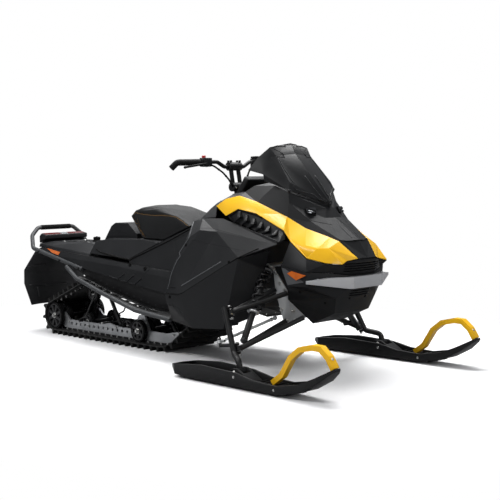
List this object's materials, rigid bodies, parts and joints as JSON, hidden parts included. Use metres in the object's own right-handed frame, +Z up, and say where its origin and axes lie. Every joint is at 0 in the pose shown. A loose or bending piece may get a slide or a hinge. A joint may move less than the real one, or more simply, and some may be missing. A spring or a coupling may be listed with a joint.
{
  "type": "snowmobile",
  "caption": "Single-seat trail snowmobile: rubber track on a slide-rail rear suspension, two steered skis on A-arms, angular bodywork, windshield, seat and rear rack deck.",
  "frame": {"origin": "on the ground, centred under the whole machine's length and width", "axes": "+X forward, +Y to the rider's left, +Z up"},
  "size_m": [3.16, 1.21, 1.186],
  "materials": {
    "body_black": "satin moulded plastic",
    "body_yellow": "gloss moulded plastic",
    "bumper_grey": "satin moulded plastic",
    "seat_vinyl": "grained vinyl with stitching",
    "tunnel_black": "black coated sheet",
    "frame_dark": "dark grey powder coat",
    "frame_aluminium": "bare, satin",
    "arm_black": "black coated tube",
    "shock_steel": "black spring on steel damper",
    "track_rubber": "moulded rubber",
    "wheel_plastic": "moulded nylon with rubber rim",
    "ski_plastic": "satin moulded plastic",
    "flap_rubber": "flexible moulded plastic",
    "screen_smoke": "smoked sheet",
    "lens_clear": "clear lens",
    "lens_red": "red lens",
    "lens_amber": "amber lens",
    "engine_metal": "cast",
    "grip_rubber": "moulded grip"
  },
  "bodies": {
    "chassis": {"board_tube_left": "frame_dark", "board_tube_right": "frame_dark", "bottom_pan": "body_black", "bulkhead": "frame_aluminium", "console": "body_black", "control_arms_left": "arm_black", "control_arms_right": "arm_black", "drive_axle": "wheel_plastic", "engine_block": "engine_metal", "front_bumper": "bumper_grey", "front_shock_left": "shock_steel", "front_shock_right": "shock_steel", "headlights": "lens_clear", "hood": "body_black", "idler_wheels": "wheel_plastic", "lower_panel_left": "body_black", "lower_panel_right": "body_black", "nose": "body_black", "rack_deck": "body_black", "rear_bumper": "frame_dark", "reflectors": "lens_amber", "running_board_left": "frame_dark", "running_board_right": "frame_dark", "seat": "seat_vinyl", "seat_base": "body_black", "side_cover_left": "body_black", "side_cover_right": "body_black", "side_panel_left": "body_black", "side_panel_right": "body_black", "side_vents": "body_black", "skid_arms": "arm_black", "skid_rails": "frame_aluminium", "snow_flap": "flap_rubber", "tail_lamp": "lens_red", "tank_cover": "body_black", "track": "track_rubber", "tunnel": "tunnel_black", "windshield": "screen_smoke", "yellow_panel_left": "body_yellow", "yellow_panel_right": "body_yellow"},
    "handlebar": {"handlebar": "arm_black", "hand_controls": "grip_rubber"},
    "spindle_right": {"spindle_right": "frame_dark"},
    "tie_rod_right": {"tie_rod_right": "frame_aluminium"},
    "ski_right": {"ski_right": "ski_plastic", "ski_loop_right": "body_yellow"},
    "spindle_left": {"spindle_left": "frame_dark"},
    "tie_rod_left": {"tie_rod_left": "frame_aluminium"},
    "ski_left": {"ski_left": "ski_plastic", "ski_loop_left": "body_yellow"}
  },
  "joints": [
    {"name": "steering", "type": "hinge", "parent": "chassis", "child": "handlebar", "pos_m": [0.384, 0, 0.862], "axis": [-0.1667, 0, 0.986], "range_deg": [-35, 35]},
    {"name": "right_spindle_turn", "type": "hinge", "parent": "chassis", "child": "spindle_right", "pos_m": [0.85, -0.458, 0.16], "axis": [-0.4139, 0.1345, 0.9003], "range_deg": [-28, 28]},
    {"name": "right_tie_rod_turn", "type": "hinge", "parent": "spindle_right", "child": "tie_rod_right", "pos_m": [0.722, -0.47, 0.184], "axis": [-0.4139, 0.1345, 0.9003], "range_deg": [-28, 28]},
    {"name": "right_ski_pitch", "type": "hinge", "parent": "spindle_right", "child": "ski_right", "pos_m": [0.95, -0.54, 0.072], "axis": [0, 1, 0], "range_deg": [-20, 12]},
    {"name": "left_spindle_turn", "type": "hinge", "parent": "chassis", "child": "spindle_left", "pos_m": [0.85, 0.458, 0.16], "axis": [-0.4139, -0.1345, 0.9003], "range_deg": [-28, 28]},
    {"name": "left_tie_rod_turn", "type": "hinge", "parent": "spindle_left", "child": "tie_rod_left", "pos_m": [0.722, 0.47, 0.184], "axis": [-0.4139, -0.1345, 0.9003], "range_deg": [-28, 28]},
    {"name": "left_ski_pitch", "type": "hinge", "parent": "spindle_left", "child": "ski_left", "pos_m": [0.95, 0.54, 0.072], "axis": [0, 1, 0], "range_deg": [-20, 12]}
  ],
  "couplings": [
    {"joint": "right_spindle_turn", "follows": "steering", "ratio": 0.8},
    {"joint": "right_tie_rod_turn", "follows": "steering", "ratio": -0.8},
    {"joint": "left_spindle_turn", "follows": "steering", "ratio": 0.8},
    {"joint": "left_tie_rod_turn", "follows": "steering", "ratio": -0.8}
  ]
}
